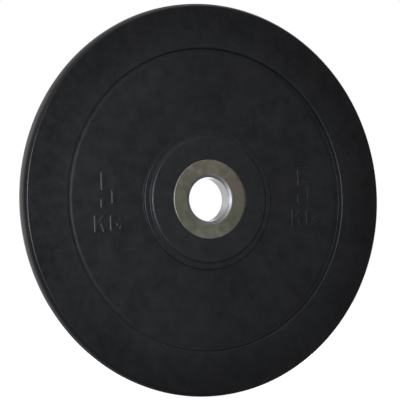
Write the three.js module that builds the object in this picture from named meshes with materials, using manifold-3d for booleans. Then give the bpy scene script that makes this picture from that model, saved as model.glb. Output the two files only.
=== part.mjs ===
// Rubber bumper plate for a barbell, in millimetres.
// The plate stands upright: its axis is Y, its front faces -Y and +Z is up.
// The origin is the centre of the bore.
// A steel hub sits in a moulded rubber disc: a sleeve, a ring on each face
// and a perforated disc inside the rubber, which keeps the hub from tearing out.

import * as THREE from 'three';
import { mergeVertices } from 'three/addons/utils/BufferGeometryUtils.js';
import Module from 'manifold-3d';

const wasm = await Module();
wasm.setup();

// Overall sizes
const plateDiameter = 450;
const plateThickness = 22;
const boreDiameter = 50.4;
const fitGap = 0.3;
const cutOverrun = 2;

// Roundness of the lathed pieces, and steps in a rounded corner or a hole
const discSides = 80;
const hubSides = 64;
const cornerSteps = 2;
const crownSteps = 4;
const holeSides = 16;

// Rubber disc: rim, shallow groove at its foot, recessed web and two-step hub boss
// Radii are from the axis, and depths from the rim face
const rimCrown = 3.2;
const rimEdgeRounding = 2;
const rimWidth = 51.2;
const stepRun = 1.2;
const stepRounding = 1.3;
const grooveWidth = 4.4;
const grooveRun = 0.9;
const grooveDepth = 0.2;
const webDepth = 5.2;
const bossTopRadius = 71.1;
const bossTopDepth = 0.5;
const bossRounding = 1.4;
const upperRiserRun = 2.5;
const ledgeDepth = 3.1;
const ledgeWidth = 6.1;
const ledgeRounding = 0.8;
const lowerRiserRun = 1.3;
const lipRounding = 0.6;

// Steel hub rings, one on each face
const ringDiameter = 91;
const ringThickness = 4.5;
const mouthRun = 3;
const mouthDepth = 2;
const mouthLand = 1;
const ringEdgeChamfer = 0.8;

// Steel sleeve between the rings, with a thin spigot at each end
const sleeveDiameter = 62;
const spigotDiameter = 56;

// Perforated steel disc inside the rubber
const anchorDiameter = 140;
const anchorThickness = 3;
const anchorHoleDiameter = 12;
const anchorHoleCircle = 100;
const anchorHoles = 12;

// Raised weight mark, a figure over its unit, left and right of the hub
const markCentreRadius = 124.5;
const markHeight = 0.4;
const markBevel = 1.2;
const markRoot = 2;
const markRollDegrees = 2.3;
const figureWidth = 19.3;
const figureHeight = 43.5;
const figureStroke = 6;
const figureStemInset = 1;
const figureLeft = -8.4;
const figureBottom = -8.1;
const unitHeight = 19.6;
const unitStroke = 4.4;
const unitBottom = -33.8;
const kWidth = 15.6;
const kLeft = -17;
const gWidth = 15.9;
const gLeft = 2.1;

// Sizes that follow from the ones above
const plateRadius = plateDiameter / 2;
const halfThickness = plateThickness / 2;
const boreRadius = boreDiameter / 2;
const ringRadius = ringDiameter / 2;
const sleeveRadius = sleeveDiameter / 2;
const spigotRadius = spigotDiameter / 2;
const anchorRadius = anchorDiameter / 2;
const anchorHoleRadius = anchorHoleDiameter / 2;
const hubHoleRadius = sleeveRadius + fitGap;
const counterboreDepth = mouthDepth + mouthLand;
const rimFaceRadius = plateRadius - rimCrown;
const wallFootRadius = plateRadius - rimWidth - stepRun;
const webRadius = wallFootRadius - grooveWidth;
const upperFootRadius = bossTopRadius + upperRiserRun;
const ledgeRadius = upperFootRadius + ledgeWidth;
const rebateHalf = halfThickness - ringThickness - fitGap;

const rubber = new THREE.MeshStandardMaterial({ color: 0x292b2e, roughness: 0.62, metalness: 0 });
const platedSteel = new THREE.MeshStandardMaterial({ color: 0x8f8d79, roughness: 0.38, metalness: 1 });
const turnedSteel = new THREE.MeshStandardMaterial({ color: 0xb9b9b8, roughness: 0.35, metalness: 1 });
const plainSteel = new THREE.MeshStandardMaterial({ color: 0x77787a, roughness: 0.5, metalness: 1 });

// Solids for joining and cutting
function toSolid(geometry) {
  const bare = geometry.clone();
  bare.deleteAttribute('normal');
  bare.deleteAttribute('uv');
  const closed = mergeVertices(bare);
  const vertProperties = new Float32Array(closed.attributes.position.array);
  const triVerts = new Uint32Array(closed.index.array);
  return new wasm.Manifold(new wasm.Mesh({ numProp: 3, vertProperties, triVerts }));
}

function toGeometry(solid) {
  const mesh = solid.getMesh();
  const geometry = new THREE.BufferGeometry();
  geometry.setAttribute('position', new THREE.BufferAttribute(mesh.vertProperties, 3));
  geometry.setIndex(new THREE.BufferAttribute(mesh.triVerts, 1));
  geometry.computeVertexNormals();
  return geometry;
}

// A corner is [x, y, rounding]; a rounded one becomes a short run of points on a curve
function roundCorners(corners) {
  const points = [];
  corners.forEach(([x, y, rounding], i) => {
    const corner = new THREE.Vector2(x, y);
    if (!rounding) {
      points.push(corner);
      return;
    }
    const before = corners.at(i - 1);
    const after = corners[(i + 1) % corners.length];
    const toBefore = new THREE.Vector2(before[0] - x, before[1] - y).setLength(rounding);
    const toAfter = new THREE.Vector2(after[0] - x, after[1] - y).setLength(rounding);
    const start = corner.clone().add(toBefore);
    const end = corner.clone().add(toAfter);
    const curve = new THREE.QuadraticBezierCurve(start, corner, end);
    points.push(...curve.getPoints(cornerSteps));
  });
  return points;
}

// A closed outline of [radius, axial place] corners turned about the plate's axis
function turned(corners, sides) {
  const outline = roundCorners(corners);
  outline.push(outline[0].clone());
  return new THREE.LatheGeometry(outline, sides);
}

// The same corners on the other side of the middle plane, in the order that closes the outline
function mirrored(corners) {
  return corners.map(([radius, y, rounding]) => [radius, -y, rounding]).reverse();
}

// A ring of round bars along the plate's axis
function barRing(radius, length) {
  let ring = null;
  for (let i = 0; i < anchorHoles; i += 1) {
    const angle = (i / anchorHoles) * 2 * Math.PI;
    const bar = new THREE.CylinderGeometry(radius, radius, length, holeSides);
    const circleRadius = anchorHoleCircle / 2;
    bar.translate(circleRadius * Math.cos(angle), 0, circleRadius * Math.sin(angle));
    ring = ring ? ring.add(toSolid(bar)) : toSolid(bar);
  }
  return ring;
}

// The outer wall bulges: an arc from the edge of a face out to the full radius
function crownCorners() {
  const arcRadius = (halfThickness ** 2 + rimCrown ** 2) / (2 * rimCrown);
  const corners = [];
  for (let i = 1; i < crownSteps; i += 1) {
    const y = -halfThickness * (1 - i / crownSteps);
    const drop = arcRadius - Math.sqrt(arcRadius ** 2 - y ** 2);
    corners.push([plateRadius - drop, y, 0]);
  }
  return corners;
}

// Weight mark: plain block characters in their own sizes, x to the right and y up
function figureFive() {
  const s = figureStroke;
  const bowlTopShare = 0.62;
  const hookTopShare = 0.27;
  const barEndShare = 0.94;
  const outerRoundShare = 0.6;
  const innerRoundShare = 0.3;
  const outer = s * outerRoundShare;
  const inner = s * innerRoundShare;
  const bowlTop = figureHeight * bowlTopShare;
  const barEnd = figureWidth * barEndShare;
  return [
    [figureStemInset, figureHeight, outer],
    [figureStemInset, bowlTop - s, 0],
    [figureWidth - s, bowlTop - s, inner],
    [figureWidth - s, s, inner],
    [s, s, inner],
    [s, figureHeight * hookTopShare, 0],
    [0, figureHeight * hookTopShare, 0],
    [0, 0, outer],
    [figureWidth, 0, outer],
    [figureWidth, bowlTop, outer],
    [figureStemInset + s, bowlTop, 0],
    [figureStemInset + s, figureHeight - s, inner],
    [barEnd, figureHeight - s, 0],
    [barEnd, figureHeight, 0],
  ];
}

function letterK() {
  const s = unitStroke;
  const footShare = 1.15;
  const foot = s * footShare;
  const lowJoinShare = 0.3;
  const highJoinShare = 0.6;
  const legInnerShare = 0.28;
  const legOuterShare = 0.5;
  const armRun = kWidth - s;
  const armRise = unitHeight * (1 - lowJoinShare);
  const onArm = (share) => [s + armRun * share, unitHeight * lowJoinShare + armRise * share, 0];
  return [
    [0, 0, 0],
    [s, 0, 0],
    onArm(0),
    onArm(legInnerShare),
    [kWidth - foot, 0, 0],
    [kWidth, 0, 0],
    onArm(legOuterShare),
    [kWidth, unitHeight, 0],
    [kWidth - foot, unitHeight, 0],
    [s, unitHeight * highJoinShare, 0],
    [s, unitHeight, 0],
    [0, unitHeight, 0],
  ];
}

function letterG() {
  const s = unitStroke;
  const outerRoundShare = 0.7;
  const innerRoundShare = 0.35;
  const upperEndShare = 0.7;
  const barBottomShare = 0.34;
  const barLeftShare = 0.5;
  const barHeightShare = 0.85;
  const outer = s * outerRoundShare;
  const inner = s * innerRoundShare;
  const barBottom = unitHeight * barBottomShare;
  const barTop = barBottom + s * barHeightShare;
  return [
    [gWidth, unitHeight, outer],
    [gWidth, unitHeight * upperEndShare, 0],
    [gWidth - s, unitHeight * upperEndShare, 0],
    [gWidth - s, unitHeight - s, inner],
    [s, unitHeight - s, inner],
    [s, s, inner],
    [gWidth - s, s, inner],
    [gWidth - s, barBottom, 0],
    [gWidth * barLeftShare, barBottom, 0],
    [gWidth * barLeftShare, barTop, 0],
    [gWidth, barTop, 0],
    [gWidth, 0, outer],
    [0, 0, outer],
    [0, unitHeight, outer],
  ];
}

// One character as a bevelled block, its root in the web and its top proud of it
function character(corners, left, bottom) {
  const bevels = {
    depth: markRoot,
    bevelThickness: markHeight,
    bevelSize: markBevel,
    bevelOffset: -markBevel,
    bevelSegments: 1,
    curveSegments: 1,
  };
  const block = new THREE.ExtrudeGeometry(new THREE.Shape(roundCorners(corners)), bevels);
  block.translate(left, bottom, -markRoot);
  return toSolid(block);
}

// The marks of both faces, upright and then rolled together, because the plate stands rolled a little
function weightMarks() {
  const mark = character(figureFive(), figureLeft, figureBottom)
    .add(character(letterK(), kLeft, unitBottom))
    .add(character(letterG(), gLeft, unitBottom));
  const pair = mark.translate([-markCentreRadius, 0, 0]).add(mark.translate([markCentreRadius, 0, 0]));
  const front = toGeometry(pair).rotateX(Math.PI / 2);
  front.translate(0, webDepth - halfThickness, 0);
  const rear = front.clone().rotateZ(Math.PI);
  const roll = THREE.MathUtils.degToRad(-markRollDegrees);
  return toSolid(front.rotateY(roll)).add(toSolid(rear.rotateY(roll)));
}

// The room for the anchor disc inside the rubber, open to the hub's hole and crossed by rubber pegs
function anchorSlot() {
  const half = anchorThickness / 2 + fitGap;
  const inner = hubHoleRadius - cutOverrun;
  const outer = anchorRadius + fitGap;
  const ring = turned([[inner, -half], [outer, -half], [outer, half], [inner, half]], hubSides);
  return toSolid(ring).subtract(barRing(anchorHoleRadius - fitGap, plateThickness));
}

// Rubber disc
function rubberDisc() {
  const webHalf = halfThickness - webDepth;
  const grooveHalf = webHalf - grooveDepth;
  const ledgeHalf = halfThickness - ledgeDepth;
  const bossHalf = halfThickness - bossTopDepth;
  const rebateRadius = ringRadius + fitGap;
  const frontHalf = [
    [hubHoleRadius, -rebateHalf, 0],
    [rebateRadius, -rebateHalf, 0],
    [rebateRadius, -bossHalf, lipRounding],
    [bossTopRadius, -bossHalf, bossRounding],
    [upperFootRadius, -ledgeHalf, 0],
    [ledgeRadius, -ledgeHalf, ledgeRounding],
    [ledgeRadius + lowerRiserRun, -webHalf, 0],
    [webRadius, -webHalf, 0],
    [webRadius + grooveRun, -grooveHalf, 0],
    [wallFootRadius, -grooveHalf, 0],
    [wallFootRadius + stepRun, -halfThickness, stepRounding],
    [rimFaceRadius, -halfThickness, rimEdgeRounding],
    ...crownCorners(),
  ];
  const outline = [...frontHalf, [plateRadius, 0, 0], ...mirrored(frontHalf)];
  const disc = toSolid(turned(outline, discSides)).add(weightMarks());
  return toGeometry(disc.subtract(anchorSlot()));
}

// Hub ring on the front face: chamfered mouth, counterbore for the sleeve's spigot
function hubRing() {
  const face = -halfThickness;
  const counterboreRadius = spigotRadius + fitGap;
  return turned([
    [boreRadius + mouthRun, face],
    [ringRadius - ringEdgeChamfer, face],
    [ringRadius, face + ringEdgeChamfer],
    [ringRadius, face + ringThickness],
    [counterboreRadius, face + ringThickness],
    [counterboreRadius, face + counterboreDepth],
    [boreRadius, face + counterboreDepth],
    [boreRadius, face + mouthDepth],
  ], hubSides);
}

// Sleeve through the rubber, with a spigot in each ring
function hubSleeve() {
  const spigotHalf = halfThickness - counterboreDepth - fitGap;
  const frontHalf = [
    [boreRadius, -spigotHalf],
    [spigotRadius, -spigotHalf],
    [spigotRadius, -rebateHalf],
    [sleeveRadius, -rebateHalf],
  ];
  return turned([...frontHalf, ...mirrored(frontHalf)], hubSides);
}

// Anchor disc round the sleeve, with the holes that the rubber flows through
function anchorDisc() {
  const inner = sleeveRadius + fitGap;
  const outer = anchorRadius;
  const half = anchorThickness / 2;
  const plain = turned([[inner, -half], [outer, -half], [outer, half], [inner, half]], hubSides);
  const holes = barRing(anchorHoleRadius, anchorThickness + cutOverrun);
  return toGeometry(toSolid(plain).subtract(holes));
}

function piece(name, geometry, material) {
  const mesh = new THREE.Mesh(geometry, material);
  mesh.name = name;
  return mesh;
}

const bumperPlate = new THREE.Group();
const ringShape = hubRing();
const rearRing = piece('rear_hub_ring', ringShape, platedSteel);
rearRing.rotation.z = Math.PI;
bumperPlate.add(piece('rubber_disc', rubberDisc(), rubber));
bumperPlate.add(piece('front_hub_ring', ringShape, platedSteel));
bumperPlate.add(rearRing);
bumperPlate.add(piece('hub_sleeve', hubSleeve(), turnedSteel));
bumperPlate.add(piece('anchor_disc', anchorDisc(), plainSteel));

export default bumperPlate;
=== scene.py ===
import math

import bmesh
import bpy
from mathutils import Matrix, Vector, geometry


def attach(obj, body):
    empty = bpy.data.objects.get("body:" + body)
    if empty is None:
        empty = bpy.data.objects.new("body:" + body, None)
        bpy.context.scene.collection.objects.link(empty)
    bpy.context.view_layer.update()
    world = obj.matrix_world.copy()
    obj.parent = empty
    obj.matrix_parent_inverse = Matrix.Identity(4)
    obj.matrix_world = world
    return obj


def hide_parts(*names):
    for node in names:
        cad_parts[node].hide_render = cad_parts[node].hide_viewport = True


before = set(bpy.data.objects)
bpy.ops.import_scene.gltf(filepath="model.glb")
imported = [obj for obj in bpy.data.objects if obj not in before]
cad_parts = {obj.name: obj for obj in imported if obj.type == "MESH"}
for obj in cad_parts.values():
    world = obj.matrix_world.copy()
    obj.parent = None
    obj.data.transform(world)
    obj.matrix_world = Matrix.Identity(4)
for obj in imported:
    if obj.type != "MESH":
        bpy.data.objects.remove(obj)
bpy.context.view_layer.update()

MM = 0.001
NEARLY_ZERO = 1e-6

# Plate, in millimetres: the axis is Y, the front faces -Y and the bore's centre is the origin
PLATE_RADIUS = 225.0
HALF_THICKNESS = 11.0
BORE_RADIUS = 25.2
FIT_GAP = 0.3
PLATE_SIDES = 240
HUB_SIDES = 192

# Relief of the rubber, as radii and depths from the rim face
# A setback is how far from a corner its rounding starts
RIM_CROWN = 3.5
RIM_EDGE_SETBACK = 1.2
SHOULDER_DEPTH = 4.0
SHOULDER_DROP = 1.0
SHOULDER_SETBACK = 1.4
CROWN_STEPS = 7
PARTING_HEIGHT = 0.12
PARTING_HALF_WIDTH = 0.35
RIM_WIDTH = 51.5
STEP_RUN = 1.6
STEP_SETBACK = 1.1
GROOVE_WIDTH = 5.1
GROOVE_DEPTH = 0.42
GROOVE_RUN = 2.4
GROOVE_SETBACK = GROOVE_RUN * 0.5
WEB_DEPTH = 5.2
BOSS_TOP_RADIUS = 71.1
BOSS_TOP_DEPTH = 0.5
BOSS_SETBACK = 1.4
LEDGE_DEPTH = 3.1
LEDGE_WIDTH = 6.1
UPPER_RISER_RUN = 2.5
LOWER_RISER_RUN = 1.3
RISER_SETBACK = 0.8
ROOT_SETBACK = 0.3
LIP_SETBACK = 0.6
CORNER_STEPS = 6
WEB_HALF = HALF_THICKNESS - WEB_DEPTH

# Steel hub
RING_RADIUS = 45.5
RING_THICKNESS = 4.5
MOUTH_RUN = 3.0
MOUTH_DEPTH = 2.0
COUNTERBORE_DEPTH = 3.0
RING_CHAMFER = 0.8
SLEEVE_RADIUS = 31.0
SPIGOT_RADIUS = 28.0
STEEL_SETBACK = 0.18
MOUTH_SETBACK = 1.2
STEEL_STEPS = 3
REBATE_HALF = HALF_THICKNESS - RING_THICKNESS - FIT_GAP

# Raised weight mark, a figure over its unit
MARK_CENTRE = 124.5
MARK_HEIGHT = 0.4
MARK_BEVEL = 1.2
MARK_FOOT_SETBACK = 0.4
MARK_TOP_SETBACK = MARK_FOOT_SETBACK * 0.8
MARK_EDGE_STEPS = 4
MARK_CORNER_STEPS = 5
MARK_ROLL = math.radians(-2.3)
FIGURE_WIDTH = 19.3
FIGURE_HEIGHT = 43.5
FIGURE_STROKE = 6.0
FIGURE_STEM = 1.0
FIGURE_PLACE = (-8.4, -8.1)
UNIT_HEIGHT = 19.6
UNIT_STROKE = 4.4
K_WIDTH = 15.6
K_PLACE = (-17.0, -33.8)
G_WIDTH = 15.9
G_PLACE = (2.1, -33.8)

# Rounding of the mark's corners: crisp ones as a share of the stroke, the least radius,
# and the share of an edge that the roundings at its two ends may fill
CRISP_SHARE = 0.08
LEAST_ROUNDING = 0.12
ROUNDING_ROOM = 0.98

# Mesh of the flat web, which keeps clear of the mark's roots by a share of its step
WEB_MESH_STEP = 6.0
WEB_MESH_SIDES = 120
WEB_MESH_CLEARANCE = 0.4
TRIANGULATION_TOLERANCE = 1e-8

# Weight of large faces in the shading normals: 50 is neutral, and more keeps flats flatter
FLAT_WEIGHT = 60


def fillet(before, corner, after, setback, steps):
    """Points of the arc that leaves both edges at the setback from the corner."""
    c = Vector(corner)
    u = (Vector(before) - c).normalized()
    v = (Vector(after) - c).normalized()
    half = u.angle(v) / 2
    radius = setback * math.tan(half)
    centre = c + (u + v).normalized() * (setback / math.cos(half))
    start = c + u * setback - centre
    end = c + v * setback - centre
    sweep = start.angle(end)
    if sweep < NEARLY_ZERO:
        return [tuple(c)]
    points = []
    for i in range(steps + 1):
        t = i / steps
        a = math.sin((1 - t) * sweep) / math.sin(sweep)
        b = math.sin(t * sweep) / math.sin(sweep)
        points.append(tuple(centre + (start * a + end * b).normalized() * radius))
    return points


def rounded(corners, steps, closed=True):
    """A run of (x, y, setback) corners as plain points, with an arc at each rounded corner."""
    points = []
    count = len(corners)
    for i, (x, y, setback) in enumerate(corners):
        at_end = not closed and i in (0, count - 1)
        if setback == 0 or at_end:
            points.append((x, y))
            continue
        before = corners[i - 1][:2]
        after = corners[(i + 1) % count][:2]
        points += fillet(before, (x, y), after, setback, steps)
    return points


def mirrored(corners):
    """The same corners on the other side of the middle plane, in closing order."""
    return [(radius, -y, setback) for radius, y, setback in reversed(corners)]


def lathe_rings(bm, outline, sides):
    """One ring of vertices round the axis for each (radius, axial) point."""
    rings = []
    for radius, y in outline:
        ring = []
        for i in range(sides):
            angle = 2 * math.pi * i / sides
            place = Vector((radius * math.cos(angle), y, radius * math.sin(angle)))
            ring.append(bm.verts.new(place * MM))
        rings.append(ring)
    return rings


def join_rings(bm, first, second):
    """A band of quads between two rings of equal count."""
    for i in range(len(first)):
        j = (i + 1) % len(first)
        bm.faces.new((first[i], first[j], second[j], second[i]))


def scene_object(name, data):
    """A new object in the scene."""
    obj = bpy.data.objects.new(name, data)
    bpy.context.scene.collection.objects.link(obj)
    return obj


def finished_object(name, bm):
    """The mesh as a smooth object that rides on the root, with the flats kept flat."""
    bmesh.ops.recalc_face_normals(bm, faces=bm.faces)
    mesh = bpy.data.meshes.new(name)
    bm.to_mesh(mesh)
    bm.free()
    mesh.shade_smooth()
    obj = scene_object(name, mesh)
    flats = obj.modifiers.new("flats", "WEIGHTED_NORMAL")
    flats.mode = "FACE_AREA"
    flats.weight = FLAT_WEIGHT
    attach(obj, "root")
    return obj


def turned_object(name, corners, sides, steps):
    """A closed outline turned about the axis."""
    bm = bmesh.new()
    rings = lathe_rings(bm, rounded(corners, steps), sides)
    for i, ring in enumerate(rings):
        join_rings(bm, ring, rings[(i + 1) % len(rings)])
    return finished_object(name, bm)


def figure_five():
    """Corners of the figure as (x, y, rounding), with y up."""
    s = FIGURE_STROKE
    outer = s * 0.6
    inner = s * 0.3
    crisp = s * CRISP_SHARE
    bowl_top = FIGURE_HEIGHT * 0.62
    hook_top = FIGURE_HEIGHT * 0.27
    bar_end = FIGURE_WIDTH * 0.94
    return [
        (FIGURE_STEM, FIGURE_HEIGHT, outer),
        (FIGURE_STEM, bowl_top - s, crisp),
        (FIGURE_WIDTH - s, bowl_top - s, inner),
        (FIGURE_WIDTH - s, s, inner),
        (s, s, inner),
        (s, hook_top, crisp),
        (0, hook_top, crisp),
        (0, 0, outer),
        (FIGURE_WIDTH, 0, outer),
        (FIGURE_WIDTH, bowl_top, outer),
        (FIGURE_STEM + s, bowl_top, crisp),
        (FIGURE_STEM + s, FIGURE_HEIGHT - s, inner),
        (bar_end, FIGURE_HEIGHT - s, crisp),
        (bar_end, FIGURE_HEIGHT, crisp),
    ]


def letter_k():
    """Corners of the letter K, as for the figure."""
    s = UNIT_STROKE
    crisp = s * CRISP_SHARE
    foot = s * 1.15
    low_join = UNIT_HEIGHT * 0.3
    high_join = UNIT_HEIGHT * 0.6
    leg_start = 0.28
    leg_end = 0.5

    def on_arm(share):
        x = s + (K_WIDTH - s) * share
        return (x, low_join + (UNIT_HEIGHT - low_join) * share, crisp)

    return [
        (0, 0, crisp),
        (s, 0, crisp),
        on_arm(0),
        on_arm(leg_start),
        (K_WIDTH - foot, 0, crisp),
        (K_WIDTH, 0, crisp),
        on_arm(leg_end),
        (K_WIDTH, UNIT_HEIGHT, crisp),
        (K_WIDTH - foot, UNIT_HEIGHT, crisp),
        (s, high_join, crisp),
        (s, UNIT_HEIGHT, crisp),
        (0, UNIT_HEIGHT, crisp),
    ]


def letter_g():
    """Corners of the letter G, as for the figure."""
    s = UNIT_STROKE
    outer = s * 0.7
    inner = s * 0.35
    crisp = s * CRISP_SHARE
    upper_end = UNIT_HEIGHT * 0.7
    bar_bottom = UNIT_HEIGHT * 0.34
    bar_top = bar_bottom + s * 0.85
    bar_left = G_WIDTH * 0.5
    return [
        (G_WIDTH, UNIT_HEIGHT, outer),
        (G_WIDTH, upper_end, crisp),
        (G_WIDTH - s, upper_end, crisp),
        (G_WIDTH - s, UNIT_HEIGHT - s, inner),
        (s, UNIT_HEIGHT - s, inner),
        (s, s, inner),
        (G_WIDTH - s, s, inner),
        (G_WIDTH - s, bar_bottom, crisp),
        (bar_left, bar_bottom, crisp),
        (bar_left, bar_top, crisp),
        (G_WIDTH, bar_top, crisp),
        (G_WIDTH, 0, outer),
        (0, 0, outer),
        (0, UNIT_HEIGHT, outer),
    ]


def turn_sign(corners):
    """1 if the corners run anticlockwise, -1 if clockwise."""
    area = 0
    for i, (x, y, _) in enumerate(corners):
        nx, ny, _ = corners[(i + 1) % len(corners)]
        area += x * ny - nx * y
    return 1 if area > 0 else -1


def inset_outline(corners, inset, steps):
    """The outline moved inwards by inset, or outwards if negative.

    Each corner becomes an arc of the same number of steps at every inset, so that the
    outlines join up point by point.
    """
    sign = turn_sign(corners)
    count = len(corners)
    moved = []
    for i, (x, y, setback) in enumerate(corners):
        c = Vector((x, y))
        u = (c - Vector(corners[i - 1][:2])).normalized()
        v = (Vector(corners[(i + 1) % count][:2]) - c).normalized()
        nu = Vector((-u.y, u.x)) * sign
        nv = Vector((-v.y, v.x)) * sign
        bisector = nu + nv
        shift = bisector * (2 * inset / bisector.length_squared)
        convex = u.cross(v) * sign > 0
        half = (-u).angle(v) / 2
        radius = setback * math.tan(half)
        radius = radius - inset if convex else radius + inset
        moved.append((c + shift, max(radius, LEAST_ROUNDING) / math.tan(half)))
    points = []
    for i, (c, setback) in enumerate(moved):
        before, before_setback = moved[i - 1]
        after, after_setback = moved[(i + 1) % count]
        room_before = (c - before).length / (setback + before_setback)
        room_after = (c - after).length / (setback + after_setback)
        share = min(1, ROUNDING_ROOM * room_before, ROUNDING_ROOM * room_after)
        points += fillet(before, c, after, setback * share, steps)
    return points


def mark_profile():
    """(inset, height) pairs from the web up the wall to the flat top, both edges rounded."""
    reach = 3 * MARK_FOOT_SETBACK
    corners = [
        (-reach, 0, 0),
        (0, 0, MARK_FOOT_SETBACK),
        (MARK_BEVEL, MARK_HEIGHT, MARK_TOP_SETBACK),
        (MARK_BEVEL + reach, MARK_HEIGHT, 0),
    ]
    return rounded(corners, MARK_EDGE_STEPS, closed=False)[1:-1]


def place_mark(point, height, centre, face):
    """A point of the mark on the front (face -1) or rear (face 1), rolled with the plate."""
    x = centre + point[0]
    z = point[1]
    if face > 0:
        x = -x
    rolled_x = x * math.cos(MARK_ROLL) + z * math.sin(MARK_ROLL)
    rolled_z = z * math.cos(MARK_ROLL) - x * math.sin(MARK_ROLL)
    return Vector((rolled_x, face * (WEB_HALF + height), rolled_z)) * MM


def flat_places(verts):
    """The vertices as (x, z), seen along the axis."""
    return [(v.co.x, v.co.z) for v in verts]


def inside(point, loop):
    """True if the flat point lies inside the closed loop."""
    x, z = point
    hit = False
    for i in range(len(loop)):
        x0, z0 = loop[i - 1]
        x1, z1 = loop[i]
        if (z0 > z) != (z1 > z) and x < x0 + (z - z0) / (z1 - z0) * (x1 - x0):
            hit = not hit
    return hit


def loop_edges(count, first=0):
    """Index pairs round a closed loop of vertices."""
    return [(first + i, first + (i + 1) % count) for i in range(count)]


def triangles_between(verts, edges):
    """The vertices and the flat middle of each triangle that keeps to the edges."""
    flat = [Vector(place) for place in flat_places(verts)]
    found = geometry.delaunay_2d_cdt(flat, edges, [], 0, TRIANGULATION_TOLERANCE)
    places, _, triangles, sources = found[:4]
    for triangle in triangles:
        middle = sum((places[i] for i in triangle), Vector((0, 0))) / 3
        yield [verts[sources[i][0]] for i in triangle], middle


def add_character(bm, corners, place, centre, face):
    """One raised character. Returns its root ring, which lies in the web."""
    rings = []
    for inset, height in mark_profile():
        ring = []
        for x, y in inset_outline(corners, inset, MARK_CORNER_STEPS):
            point = (x + place[0], y + place[1])
            ring.append(bm.verts.new(place_mark(point, height, centre, face)))
        rings.append(ring)
    for first, second in zip(rings, rings[1:]):
        join_rings(bm, first, second)
    cap = rings[-1]
    outline = flat_places(cap)
    for triangle, middle in triangles_between(cap, loop_edges(len(cap))):
        if inside(middle, outline):
            bm.faces.new(triangle)
    return rings[0]


def fill_web(bm, inner, outer, roots, face):
    """The flat web between two rings and round the marks' roots."""
    verts = []
    edges = []
    for ring in [inner, outer, *roots]:
        edges += loop_edges(len(ring), len(verts))
        verts += ring
    loops = [flat_places(ring) for ring in roots]
    least = inner[0].co.xz.length
    most = outer[0].co.xz.length
    margin = WEB_MESH_STEP * WEB_MESH_CLEARANCE * MM
    steps = round((most - least) / (WEB_MESH_STEP * MM))
    for i in range(1, steps):
        radius = least + (most - least) * i / steps
        for k in range(WEB_MESH_SIDES):
            angle = 2 * math.pi * (k + i % 2 / 2) / WEB_MESH_SIDES
            x = radius * math.cos(angle)
            z = radius * math.sin(angle)
            near = any(
                abs(x - px) < margin and abs(z - pz) < margin
                for loop in loops
                for px, pz in loop
            )
            if near or any(inside((x, z), loop) for loop in loops):
                continue
            verts.append(bm.verts.new((x, face * WEB_HALF * MM, z)))
    for triangle, middle in triangles_between(verts, edges):
        if not least < middle.length < most:
            continue
        if any(inside(middle, loop) for loop in loops):
            continue
        bm.faces.new(triangle)


def crown_corners():
    """The outer wall, from the front shoulder over a slight bulge to the parting line."""
    half = HALF_THICKNESS - SHOULDER_DEPTH
    crown = SHOULDER_DROP - PARTING_HEIGHT
    arc_radius = (half**2 + crown**2) / (2 * crown)
    top = PLATE_RADIUS - PARTING_HEIGHT

    def on_arc(y):
        return top - arc_radius + math.sqrt(arc_radius**2 - y**2)

    corners = [(on_arc(half), -half, SHOULDER_SETBACK)]
    # The first step of the arc is left to the shoulder's rounding
    for i in range(2, CROWN_STEPS):
        y = -half * (1 - i / CROWN_STEPS)
        corners.append((on_arc(y), y, 0))
    foot = PARTING_HALF_WIDTH
    corners.append((on_arc(foot), -foot, 0))
    corners.append((PLATE_RADIUS - PARTING_HEIGHT / 4, -foot / 2, 0))
    return corners


def rubber_outline():
    """The section of the rubber disc as closed (radius, axial) points."""
    ledge_half = HALF_THICKNESS - LEDGE_DEPTH
    boss_half = HALF_THICKNESS - BOSS_TOP_DEPTH
    groove_half = WEB_HALF - GROOVE_DEPTH
    rebate_radius = RING_RADIUS + FIT_GAP
    ledge_radius = BOSS_TOP_RADIUS + UPPER_RISER_RUN + LEDGE_WIDTH
    wall_foot = PLATE_RADIUS - RIM_WIDTH - STEP_RUN
    hub_side = [
        (SLEEVE_RADIUS + FIT_GAP, -REBATE_HALF, 0),
        (rebate_radius, -REBATE_HALF, 0),
        (rebate_radius, -boss_half, LIP_SETBACK),
        (BOSS_TOP_RADIUS, -boss_half, BOSS_SETBACK),
        (BOSS_TOP_RADIUS + UPPER_RISER_RUN, -ledge_half, ROOT_SETBACK),
        (ledge_radius, -ledge_half, RISER_SETBACK),
        (ledge_radius + LOWER_RISER_RUN, -WEB_HALF, ROOT_SETBACK),
    ]
    rim_side = [
        (wall_foot - GROOVE_WIDTH, -WEB_HALF, GROOVE_SETBACK),
        (wall_foot - GROOVE_WIDTH + GROOVE_RUN, -groove_half, ROOT_SETBACK),
        (wall_foot, -groove_half, ROOT_SETBACK),
        (wall_foot + STEP_RUN, -HALF_THICKNESS, STEP_SETBACK),
        (PLATE_RADIUS - RIM_CROWN, -HALF_THICKNESS, RIM_EDGE_SETBACK),
        *crown_corners(),
    ]
    front_half = hub_side + rim_side
    corners = front_half + [(PLATE_RADIUS, 0, 0)] + mirrored(front_half)
    return rounded(corners, CORNER_STEPS)


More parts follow.
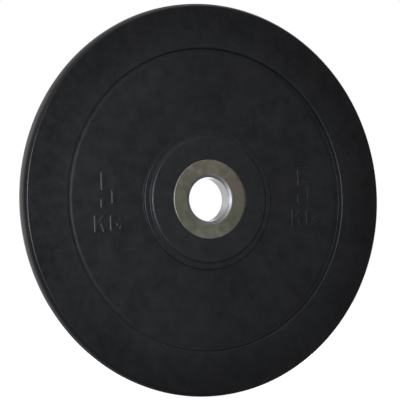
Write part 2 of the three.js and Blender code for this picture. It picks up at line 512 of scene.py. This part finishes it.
def rubber_body():
    """The rubber disc with its raised marks, as one closed mesh."""
    outline = rubber_outline()
    bm = bmesh.new()
    rings = lathe_rings(bm, outline, PLATE_SIDES)
    web_edges = []
    for i, ring in enumerate(rings):
        j = (i + 1) % len(rings)
        (r0, y0), (r1, y1) = outline[i], outline[j]
        on_web = abs(abs(y0) - WEB_HALF) < NEARLY_ZERO and abs(y0 - y1) < NEARLY_ZERO
        if on_web and abs(r1 - r0) > WEB_MESH_STEP:
            web_edges.append((i, j) if r0 < r1 else (j, i))
            continue
        join_rings(bm, ring, rings[j])
    characters = [
        (figure_five(), FIGURE_PLACE),
        (letter_k(), K_PLACE),
        (letter_g(), G_PLACE),
    ]
    for inner, outer in web_edges:
        face = -1 if outline[inner][1] < 0 else 1
        roots = [
            add_character(bm, shape, place, centre, face)
            for centre in (-MARK_CENTRE, MARK_CENTRE)
            for shape, place in characters
        ]
        fill_web(bm, rings[inner], rings[outer], roots, face)
    return finished_object("rubber_body", bm)


def hub_ring(name, face):
    """A hub ring with a chamfered mouth; face is -1 for the front and 1 for the rear."""
    outer = HALF_THICKNESS
    back = HALF_THICKNESS - RING_THICKNESS
    land = HALF_THICKNESS - COUNTERBORE_DEPTH
    corners = [
        (BORE_RADIUS + MOUTH_RUN, outer, MOUTH_SETBACK),
        (RING_RADIUS - RING_CHAMFER, outer, STEEL_SETBACK),
        (RING_RADIUS, outer - RING_CHAMFER, STEEL_SETBACK),
        (RING_RADIUS, back, STEEL_SETBACK),
        (SPIGOT_RADIUS + FIT_GAP, back, STEEL_SETBACK),
        (SPIGOT_RADIUS + FIT_GAP, land, 0),
        (BORE_RADIUS, land, STEEL_SETBACK),
        (BORE_RADIUS, outer - MOUTH_DEPTH, STEEL_SETBACK),
    ]
    placed = [(radius, face * y, setback) for radius, y, setback in corners]
    return turned_object(name, placed, HUB_SIDES, STEEL_STEPS)


def hub_tube():
    """The sleeve with a thin spigot at each end."""
    spigot_half = HALF_THICKNESS - COUNTERBORE_DEPTH - FIT_GAP
    half = [
        (BORE_RADIUS, -spigot_half, STEEL_SETBACK),
        (SPIGOT_RADIUS, -spigot_half, STEEL_SETBACK),
        (SPIGOT_RADIUS, -REBATE_HALF, 0),
        (SLEEVE_RADIUS, -REBATE_HALF, STEEL_SETBACK),
    ]
    return turned_object("hub_tube", half + mirrored(half), HUB_SIDES, STEEL_STEPS)


class Nodes:
    """Short calls for building the node tree of a material or of the world."""

    def __init__(self, owner, output="OutputMaterial"):
        owner.use_nodes = True
        self.owner = owner
        self.tree = owner.node_tree
        self.tree.nodes.clear()
        self.output = self.node(output)

    def node(self, kind, settings=None, **inputs):
        made = self.tree.nodes.new("ShaderNode" + kind)
        for key, value in (settings or {}).items():
            setattr(made, key, value)
        for key, value in inputs.items():
            self.feed(made.inputs[key.replace("_", " ")], value)
        return made

    def feed(self, socket, value):
        if isinstance(value, bpy.types.NodeSocket):
            self.tree.links.new(value, socket)
        else:
            socket.default_value = value

    def math(self, operation, first, second=0.0):
        made = self.node("Math", {"operation": operation})
        self.feed(made.inputs[0], first)
        self.feed(made.inputs[1], second)
        return made.outputs[0]

    def place(self):
        return self.node("TexCoord").outputs["Object"]

    def axes(self, vector):
        """The X, Y and Z of a vector."""
        made = self.node("SeparateXYZ", Vector=vector)
        return [made.outputs[axis] for axis in "XYZ"]

    def noise(self, scale, detail=2.0, roughness=0.5):
        made = self.node("TexNoise", Scale=scale, Detail=detail, Roughness=roughness)
        self.feed(made.inputs["Vector"], self.place())
        return made.outputs["Fac"]

    def span(self, value, low, high, to_low=0.0, to_high=1.0):
        """The value mapped from low..high to to_low..to_high, and held there."""
        made = self.node("MapRange", Value=value)
        limits = (low, high, to_low, to_high)
        for key, limit in zip(("From Min", "From Max", "To Min", "To Max"), limits):
            made.inputs[key].default_value = limit
        return made.outputs["Result"]

    def mix(self, share, first, second):
        made = self.node("Mix", {"data_type": "RGBA"})
        self.feed(made.inputs[0], share)
        self.feed(made.inputs[6], first)
        self.feed(made.inputs[7], second)
        return made.outputs[2]

    def mix_shaders(self, share, first, second):
        made = self.node("MixShader", Fac=share)
        self.feed(made.inputs[1], first)
        self.feed(made.inputs[2], second)
        return made.outputs[0]

    def bump(self, height, distance, strength, normal=None):
        made = self.node("Bump", Height=height, Distance=distance, Strength=strength)
        if normal:
            self.feed(made.inputs["Normal"], normal)
        return made.outputs["Normal"]

    def surface(self, shader):
        """Ends the tree with the shader and returns the material or the world."""
        self.tree.links.new(shader, self.output.inputs["Surface"])
        return self.owner


def rgb(red, green, blue):
    """A colour written as linear light."""
    return (red, green, blue, 1.0)


WHITE = rgb(1, 1, 1)
BLACK = rgb(0, 0, 0)

# Rubber, with the radii in metres between which the rim's painted shade and smoother gloss and
# the boss's painted light set in
RUBBER_DARK = rgb(0.0089, 0.0089, 0.0096)
RUBBER_PALE = rgb(0.0174, 0.0174, 0.0186)
RUBBER_SPECK = rgb(0.03, 0.031, 0.033)
RUBBER_DUST = rgb(0.0178, 0.0168, 0.0164)
RUBBER_BOSS_PAINTED_LIGHT = rgb(0.026, 0.0262, 0.027)
RIM_SHADE_AND_GLOSS_SPAN = (0.172, 0.205)
BOSS_PAINTED_LIGHT_SPAN = (0.08, 0.07)

# Plated steel, with the radii in metres between which the bare mouth and the worn edge set in
PLATING_GREEN = rgb(0.405, 0.412, 0.3)
PLATING_YELLOW = rgb(0.458, 0.435, 0.325)
PLATING_BROWN = rgb(0.5, 0.43, 0.335)
WORN_STEEL = rgb(0.5, 0.505, 0.53)
MOUTH_STEEL = rgb(0.37, 0.37, 0.375)
MOUTH_TONE = (0.0286, 0.0282)
EDGE_TONE = (0.0448, 0.0451)
TURNING_LINES_PER_METRE = 1900.0

# Bore, with its tool marks in radians per metre along the axis and in marks per turn round it
BORE_DARK = rgb(0.37, 0.37, 0.37)
BORE_BRIGHT = rgb(0.54, 0.54, 0.535)
MARKS_ALONG = 1700.0
MARKS_ROUND = 44.0

# Plain steel
MILL_DARK = rgb(0.16, 0.16, 0.165)
MILL_PALE = rgb(0.22, 0.22, 0.225)


def new_material(name):
    """The cleared node tree of a new material."""
    return Nodes(bpy.data.materials.new(name))


def axis_radius(n, place):
    """Distance from the plate's axis, in metres."""
    x, _, z = n.axes(place)
    squares = n.math("ADD", n.math("MULTIPLY", x, x), n.math("MULTIPLY", z, z))
    return n.math("SQRT", squares)


def rubber_material():
    """Moulded black rubber: soft sheen, faint mottling, fine grain and a little unevenness, with
    painted shade darkening the rim and painted light paling the boss.
    """
    n = new_material("rubber_moulded")
    mottle = n.math("MULTIPLY", n.noise(scale=62.0, detail=6.0, roughness=0.74), 0.6)
    patches = n.math("MULTIPLY", n.noise(scale=11.0, detail=3.0, roughness=0.6), 0.4)
    speckle = n.noise(scale=950.0)
    dust = n.noise(scale=17.0, detail=5.0, roughness=0.68)
    radius = axis_radius(n, n.place())
    rim_painted_shade_and_gloss = n.span(radius, *RIM_SHADE_AND_GLOSS_SPAN)
    boss_painted_light = n.span(radius, *BOSS_PAINTED_LIGHT_SPAN, to_high=0.35)
    tone = n.span(n.math("ADD", mottle, patches), 0.4, 0.6)
    base = n.mix(tone, RUBBER_DARK, RUBBER_PALE)
    base = n.mix(n.span(speckle, 0.62, 0.8, to_high=0.35), base, RUBBER_SPECK)
    base = n.mix(n.span(dust, 0.5, 0.68, to_high=0.55), base, RUBBER_DUST)
    # Painted shade: the rim's base colour is darkened towards black
    base = n.mix(n.math("MULTIPLY", rim_painted_shade_and_gloss, 0.4), base, BLACK)
    # Painted light: the boss's base colour is made paler towards the hub
    base = n.mix(boss_painted_light, base, RUBBER_BOSS_PAINTED_LIGHT)
    smears = n.noise(scale=85.0, detail=5.0, roughness=0.7)
    rough = n.span(smears, 0.32, 0.68, to_low=0.35, to_high=0.47)
    grain = n.bump(speckle, distance=0.00005, strength=0.5)
    uneven = n.bump(n.noise(scale=24.0), distance=0.0006, strength=0.5, normal=grain)
    shader = n.node(
        "BsdfPrincipled",
        Base_Color=base,
        Roughness=n.math("SUBTRACT", rough, n.math("MULTIPLY", rim_painted_shade_and_gloss, 0.05)),
        IOR=1.5,
        Normal=uneven,
    )
    return n.surface(shader.outputs["BSDF"])


def plated_material():
    """Turned steel with a dull yellow-green plating, bare in the mouth and worn at the edge."""
    n = new_material("steel_plated")
    place = n.place()
    radius = axis_radius(n, place)
    x, _, z = n.axes(place)
    lean = n.math("ADD", n.math("MULTIPLY", z, 5.0), n.math("MULTIPLY", x, 1.5))
    bare = n.span(radius, *MOUTH_TONE)
    nicks = n.span(n.noise(scale=330.0, roughness=0.6), 0.6, 0.72)
    worn = n.math("MULTIPLY", n.span(radius, *EDGE_TONE), n.math("ADD", nicks, 0.5))
    tint = n.span(n.noise(scale=85.0, detail=5.0, roughness=0.7), 0.38, 0.62)
    warm = n.math("ADD", n.noise(scale=38.0, detail=5.0, roughness=0.7), lean)
    base = n.mix(tint, PLATING_GREEN, PLATING_YELLOW)
    # Browner towards the top and right
    base = n.mix(n.span(warm, 0.56, 0.74), base, PLATING_BROWN)
    base = n.mix(worn, base, WORN_STEEL)
    base = n.mix(bare, base, MOUTH_STEEL)
    rough = n.span(n.noise(scale=120.0, detail=3.0), 0.3, 0.7, to_low=0.36, to_high=0.46)
    turned = n.node(
        "TexNoise",
        {"noise_dimensions": "1D"},
        W=n.math("MULTIPLY", radius, TURNING_LINES_PER_METRE),
        Scale=1.0,
        Detail=3.0,
    )
    tangent = n.node("Tangent", {"direction_type": "RADIAL", "axis": "Y"})
    shader = n.node(
        "BsdfPrincipled",
        Base_Color=base,
        Metallic=1.0,
        Roughness=n.math("ADD", rough, n.math("MULTIPLY", bare, 0.1)),
        Anisotropic=0.2,
        Tangent=tangent.outputs["Tangent"],
        Normal=n.bump(turned.outputs["Fac"], distance=0.000012, strength=0.6),
    )
    return n.surface(shader.outputs["BSDF"])


def bore_material():
    """Bright turned steel with fine crossing tool marks."""
    n = new_material("steel_bore")
    x, y, z = n.axes(n.place())
    along = n.math("MULTIPLY", y, MARKS_ALONG)
    around = n.math("MULTIPLY", n.math("ARCTAN2", z, x), MARKS_ROUND)
    rising = n.math("SINE", n.math("ADD", around, along))
    falling = n.math("SINE", n.math("SUBTRACT", around, along))
    cross = n.math("MAXIMUM", rising, falling)
    marks = n.bump(cross, distance=0.00004, strength=0.6)
    shader = n.node(
        "BsdfPrincipled",
        Base_Color=n.mix(n.span(cross, -0.3, 1.0), BORE_DARK, BORE_BRIGHT),
        Metallic=1.0,
        Roughness=0.32,
        Normal=n.bump(n.noise(scale=1500.0), distance=0.00001, strength=0.5, normal=marks),
    )
    return n.surface(shader.outputs["BSDF"])


def plain_steel_material():
    """Mill-finish steel of the hidden disc."""
    n = new_material("steel_plain")
    tone = n.span(n.noise(scale=80.0, detail=3.0), 0.35, 0.65)
    base = n.mix(tone, MILL_DARK, MILL_PALE)
    shader = n.node("BsdfPrincipled", Base_Color=base, Metallic=1.0, Roughness=0.5)
    return n.surface(shader.outputs["BSDF"])


def give(obj, material):
    """Puts the material on the whole object."""
    obj.data.materials.clear()
    obj.data.materials.append(material)


rubber = rubber_body()
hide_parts("rubber_disc")
give(rubber, rubber_material())

plated = plated_material()
for name, node, face in (("front_ring", "front_hub_ring", -1), ("rear_ring", "rear_hub_ring", 1)):
    ring = hub_ring(name, face)
    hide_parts(node)
    give(ring, plated)

tube = hub_tube()
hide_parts("hub_sleeve")
give(tube, bore_material())
give(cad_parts["anchor_disc"], plain_steel_material())


# Stage, in metres: a pale floor under the plate, a soft key lamp at its front left and a
# weaker one behind it. Gloss shows little of the floor in front, and more of it behind.
FLOOR_Z = -PLATE_RADIUS * MM
FLOOR_REACH = 6.0
FLOOR_PALE = rgb(0.7, 0.7, 0.7)
FLOOR_MUTED = rgb(0.25, 0.25, 0.25)
FLOOR_GLOW = 0.84
FLOOR_GLOW_SPAN = (0.2, 1.2)
FLOOR_IN_GLOSS = 0.04
REAR_FLOOR_IN_GLOSS = 0.7
REAR_FLOOR_SPAN = (0.0, 0.5)
LAMP_DISTANCE = 1.15
LAMP_SIZE = 0.55
LAMP_COLOUR = (0.85, 0.9, 1.0)


def floor_material():
    """Pale floor: white to the camera, and a little darker in the plate's shadow."""
    n = new_material("stage_floor")
    path = n.node("LightPath").outputs
    plain = n.node("BsdfDiffuse", Color=FLOOR_PALE).outputs["BSDF"]
    muted = n.node("BsdfDiffuse", Color=FLOOR_MUTED).outputs["BSDF"]
    away = n.node("VectorMath", {"operation": "LENGTH"})
    n.feed(away.inputs[0], n.place())
    lift = n.span(away.outputs["Value"], *FLOOR_GLOW_SPAN, to_low=FLOOR_GLOW)
    lifted = n.node("AddShader")
    n.feed(lifted.inputs[0], plain)
    n.feed(lifted.inputs[1], n.node("Emission", Color=WHITE, Strength=lift).outputs[0])
    _, y, _ = n.axes(n.place())
    behind = n.span(y, *REAR_FLOOR_SPAN, FLOOR_IN_GLOSS, REAR_FLOOR_IN_GLOSS)
    seen = n.math("MULTIPLY", path["Is Glossy Ray"], behind)
    seen = n.math("MAXIMUM", path["Is Camera Ray"], seen)
    return n.surface(n.mix_shaders(seen, muted, lifted.outputs[0]))


def add_floor():
    """A wide plane that the plate stands on."""
    signs = ((-1, -1), (1, -1), (1, 1), (-1, 1))
    corners = [(x * FLOOR_REACH, y * FLOOR_REACH, FLOOR_Z) for x, y in signs]
    mesh = bpy.data.meshes.new("stage_floor")
    mesh.from_pydata(corners, [], [(0, 1, 2, 3)])
    floor = scene_object("stage_floor", mesh)
    give(floor, floor_material())


def area_light(name, bearing, power):
    """A soft square lamp level with the hub, at a bearing from the front towards the left."""
    data = bpy.data.lights.new(name, "AREA")
    data.shape = "SQUARE"
    data.size = LAMP_SIZE
    data.energy = power
    data.color = LAMP_COLOUR
    lamp = scene_object(name, data)
    angle = math.radians(bearing)
    lamp.location = (-LAMP_DISTANCE * math.sin(angle), -LAMP_DISTANCE * math.cos(angle), 0)
    lamp.rotation_euler = (-lamp.location).to_track_quat("-Z", "Y").to_euler()


add_floor()
area_light("key", bearing=30.0, power=10.0)
area_light("rear_key", bearing=210.0, power=3.6)


# World, with directions as parts of a unit vector: the room that the plate sees is dim in front
# of it and grows white behind it, sooner overhead and to the right, and less so in the upper
# right corner. Mirrored rays see the white more strongly, and the ceiling is pale all over.
DIM_ROOM = 0.05
WHITE_ROOM = 0.5
WHITE_IN_MIRROR = 0.5
WHITE_SPAN = (0.14, 0.9)
WHITE_CURVE = 1.2
RISE_SHARE = 0.35
LEAST_RISE = -0.1
RIGHT_SHARE = 0.3
CORNER_SPAN = (-0.2, 0.3)
CORNER_RISE_SHARE = 0.9
SHADED_CORNER = 0.25
CEILING_SPAN = (0.05, 0.75)
CEILING = 0.35


def room_world():
    """The room as light on the plate, and plain white to the camera."""
    n = Nodes(bpy.data.worlds.new("studio"), "OutputWorld")
    path = n.node("LightPath").outputs
    x, y, z = n.axes(n.node("TexCoord").outputs["Generated"])
    rise = n.math("MAXIMUM", n.math("MULTIPLY", z, RISE_SHARE), LEAST_RISE)
    right = n.math("MAXIMUM", n.math("MULTIPLY", x, RIGHT_SHARE), 0.0)
    turned_away = n.math("ADD", n.math("ADD", y, rise), right)
    to_corner = n.math("ADD", x, n.math("MULTIPLY", z, CORNER_RISE_SHARE))
    shade = n.span(to_corner, *CORNER_SPAN, to_low=1.0, to_high=SHADED_CORNER)
    white = n.math("POWER", n.span(turned_away, *WHITE_SPAN), WHITE_CURVE)
    white = n.math("MULTIPLY", white, shade)
    mirror_ray = n.math("MAXIMUM", path["Is Glossy Ray"], path["Is Transmission Ray"])
    strength = n.math("ADD", n.math("MULTIPLY", mirror_ray, WHITE_IN_MIRROR), WHITE_ROOM)
    level = n.math("ADD", n.math("MULTIPLY", strength, white), DIM_ROOM)
    level = n.math("ADD", level, n.span(z, *CEILING_SPAN, to_high=CEILING))
    room = n.node("Background", Color=WHITE, Strength=level).outputs[0]
    backdrop = n.node("Background", Color=WHITE).outputs[0]
    return n.surface(n.mix_shaders(path["Is Camera Ray"], room, backdrop))


bpy.context.scene.world = room_world()

# Camera: the place fitted to the photographed rim and hub circles
VIEW_BEARING = math.radians(25.64)
VIEW_RISE = math.radians(-2.365)
VIEW_DISTANCE = 2.0993
VIEW_TARGET = Vector((-0.0073, 0, -0.0006))
VIEW_LENS = 165.15
SENSOR_WIDTH = 36.0
FAR_CLIP = 50.0

camera_data = bpy.data.cameras.new("camera")
camera_data.lens = VIEW_LENS
camera_data.sensor_width = SENSOR_WIDTH
camera_data.sensor_fit = "HORIZONTAL"
camera_data.clip_end = FAR_CLIP
camera = scene_object("camera", camera_data)
to_camera = Vector((
    -math.sin(VIEW_BEARING) * math.cos(VIEW_RISE),
    -math.cos(VIEW_BEARING) * math.cos(VIEW_RISE),
    math.sin(VIEW_RISE),
))
camera.location = VIEW_TARGET + to_camera * VIEW_DISTANCE
camera.rotation_euler = (-to_camera).to_track_quat("-Z", "Y").to_euler()
bpy.context.scene.camera = camera

bpy.context.scene.view_settings.view_transform = "Standard"
